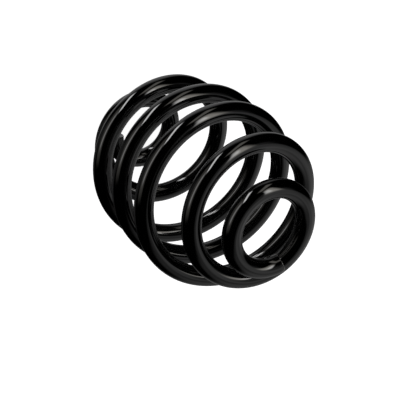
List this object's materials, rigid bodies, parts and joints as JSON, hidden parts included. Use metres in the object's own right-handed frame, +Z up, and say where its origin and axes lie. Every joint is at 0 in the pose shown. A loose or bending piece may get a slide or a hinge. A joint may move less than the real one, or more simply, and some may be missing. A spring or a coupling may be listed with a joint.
{
  "type": "coil spring",
  "caption": "Barrel-shaped compression coil spring of round bar with small closed end coils and wide middle coils, gloss black.",
  "frame": {"origin": "on the axis of the full-width coils, in the plane of the lower seat that the lower end coil stands on", "axes": "+Z up along the spring's axis, from the lower seat to the upper seat; +X towards the lower cut end of the bar; +Y completes the right-handed frame, the way the bar sets off from that end"},
  "size_m": [0.1166, 0.1166, 0.176],
  "materials": {
    "coated_bar": "gloss"
  },
  "bodies": {
    "lower_end_coil": {"lower_end_coil": "coated_bar"},
    "lower_taper_quarter_1": {"lower_taper_quarter_1": "coated_bar"},
    "lower_taper_quarter_2": {"lower_taper_quarter_2": "coated_bar"},
    "lower_taper_quarter_3": {"lower_taper_quarter_3": "coated_bar"},
    "lower_taper_quarter_4": {"lower_taper_quarter_4": "coated_bar"},
    "lower_taper_quarter_5": {"lower_taper_quarter_5": "coated_bar"},
    "lower_taper_quarter_6": {"lower_taper_quarter_6": "coated_bar"},
    "body_quarter_1": {"body_quarter_1": "coated_bar"},
    "body_quarter_2": {"body_quarter_2": "coated_bar"},
    "body_quarter_3": {"body_quarter_3": "coated_bar"},
    "body_quarter_4": {"body_quarter_4": "coated_bar"},
    "body_quarter_5": {"body_quarter_5": "coated_bar"},
    "body_quarter_6": {"body_quarter_6": "coated_bar"},
    "upper_taper_quarter_1": {"upper_taper_quarter_1": "coated_bar"},
    "upper_taper_quarter_2": {"upper_taper_quarter_2": "coated_bar"},
    "upper_taper_quarter_3": {"upper_taper_quarter_3": "coated_bar"},
    "upper_taper_quarter_4": {"upper_taper_quarter_4": "coated_bar"},
    "upper_taper_quarter_5": {"upper_taper_quarter_5": "coated_bar"},
    "upper_taper_quarter_6": {"upper_taper_quarter_6": "coated_bar"},
    "upper_end_coil": {"upper_end_coil": "coated_bar"}
  },
  "joints": [
    {"name": "compression", "type": "slide", "parent": "lower_end_coil", "child": "upper_end_coil", "axis": [0, 0, 1], "range_m": [-0.05, 0], "stiffness_N_per_m": 51000},
    {"name": "lower_taper_quarter_1_travel", "type": "slide", "parent": "lower_end_coil", "child": "lower_taper_quarter_1", "axis": [0, 0, 1], "range_m": [-0.00051, 0.0001]},
    {"name": "lower_taper_quarter_2_travel", "type": "slide", "parent": "lower_end_coil", "child": "lower_taper_quarter_2", "axis": [0, 0, 1], "range_m": [-0.00167, 0.0001]},
    {"name": "lower_taper_quarter_3_travel", "type": "slide", "parent": "lower_end_coil", "child": "lower_taper_quarter_3", "axis": [0, 0, 1], "range_m": [-0.00342, 0.0001]},
    {"name": "lower_taper_quarter_4_travel", "type": "slide", "parent": "lower_end_coil", "child": "lower_taper_quarter_4", "axis": [0, 0, 1], "range_m": [-0.00583, 0.0001]},
    {"name": "lower_taper_quarter_5_travel", "type": "slide", "parent": "lower_end_coil", "child": "lower_taper_quarter_5", "axis": [0, 0, 1], "range_m": [-0.00886, 0.0001]},
    {"name": "lower_taper_quarter_6_travel", "type": "slide", "parent": "lower_end_coil", "child": "lower_taper_quarter_6", "axis": [0, 0, 1], "range_m": [-0.0123, 0.0001]},
    {"name": "body_quarter_1_travel", "type": "slide", "parent": "lower_end_coil", "child": "body_quarter_1", "axis": [0, 0, 1], "range_m": [-0.01586, 0.0001]},
    {"name": "body_quarter_2_travel", "type": "slide", "parent": "lower_end_coil", "child": "body_quarter_2", "axis": [0, 0, 1], "range_m": [-0.01941, 0.0001]},
    {"name": "body_quarter_3_travel", "type": "slide", "parent": "lower_end_coil", "child": "body_quarter_3", "axis": [0, 0, 1], "range_m": [-0.02295, 0.0001]},
    {"name": "body_quarter_4_travel", "type": "slide", "parent": "lower_end_coil", "child": "body_quarter_4", "axis": [0, 0, 1], "range_m": [-0.02651, 0.0001]},
    {"name": "body_quarter_5_travel", "type": "slide", "parent": "lower_end_coil", "child": "body_quarter_5", "axis": [0, 0, 1], "range_m": [-0.03005, 0.0001]},
    {"name": "body_quarter_6_travel", "type": "slide", "parent": "lower_end_coil", "child": "body_quarter_6", "axis": [0, 0, 1], "range_m": [-0.03361, 0.0001]},
    {"name": "upper_taper_quarter_1_travel", "type": "slide", "parent": "lower_end_coil", "child": "upper_taper_quarter_1", "axis": [0, 0, 1], "range_m": [-0.03716, 0.0001]},
    {"name": "upper_taper_quarter_2_travel", "type": "slide", "parent": "lower_end_coil", "child": "upper_taper_quarter_2", "axis": [0, 0, 1], "range_m": [-0.04068, 0.0001]},
    {"name": "upper_taper_quarter_3_travel", "type": "slide", "parent": "lower_end_coil", "child": "upper_taper_quarter_3", "axis": [0, 0, 1], "range_m": [-0.04389, 0.0001]},
    {"name": "upper_taper_quarter_4_travel", "type": "slide", "parent": "lower_end_coil", "child": "upper_taper_quarter_4", "axis": [0, 0, 1], "range_m": [-0.04648, 0.0001]},
    {"name": "upper_taper_quarter_5_travel", "type": "slide", "parent": "lower_end_coil", "child": "upper_taper_quarter_5", "axis": [0, 0, 1], "range_m": [-0.04837, 0.0001]},
    {"name": "upper_taper_quarter_6_travel", "type": "slide", "parent": "lower_end_coil", "child": "upper_taper_quarter_6", "axis": [0, 0, 1], "range_m": [-0.04965, 0.0001]}
  ],
  "couplings": [
    {"joint": "lower_taper_quarter_1_travel", "follows": "compression", "ratio": 0.0081},
    {"joint": "lower_taper_quarter_2_travel", "follows": "compression", "ratio": 0.0314},
    {"joint": "lower_taper_quarter_3_travel", "follows": "compression", "ratio": 0.0663},
    {"joint": "lower_taper_quarter_4_travel", "follows": "compression", "ratio": 0.1146},
    {"joint": "lower_taper_quarter_5_travel", "follows": "compression", "ratio": 0.1752},
    {"joint": "lower_taper_quarter_6_travel", "follows": "compression", "ratio": 0.2441},
    {"joint": "body_quarter_1_travel", "follows": "compression", "ratio": 0.3151},
    {"joint": "body_quarter_2_travel", "follows": "compression", "ratio": 0.3861},
    {"joint": "body_quarter_3_travel", "follows": "compression", "ratio": 0.4571},
    {"joint": "body_quarter_4_travel", "follows": "compression", "ratio": 0.5281},
    {"joint": "body_quarter_5_travel", "follows": "compression", "ratio": 0.5991},
    {"joint": "body_quarter_6_travel", "follows": "compression", "ratio": 0.6701},
    {"joint": "upper_taper_quarter_1_travel", "follows": "compression", "ratio": 0.7411},
    {"joint": "upper_taper_quarter_2_travel", "follows": "compression", "ratio": 0.8115},
    {"joint": "upper_taper_quarter_3_travel", "follows": "compression", "ratio": 0.8757},
    {"joint": "upper_taper_quarter_4_travel", "follows": "compression", "ratio": 0.9275},
    {"joint": "upper_taper_quarter_5_travel", "follows": "compression", "ratio": 0.9654},
    {"joint": "upper_taper_quarter_6_travel", "follows": "compression", "ratio": 0.9909}
  ]
}
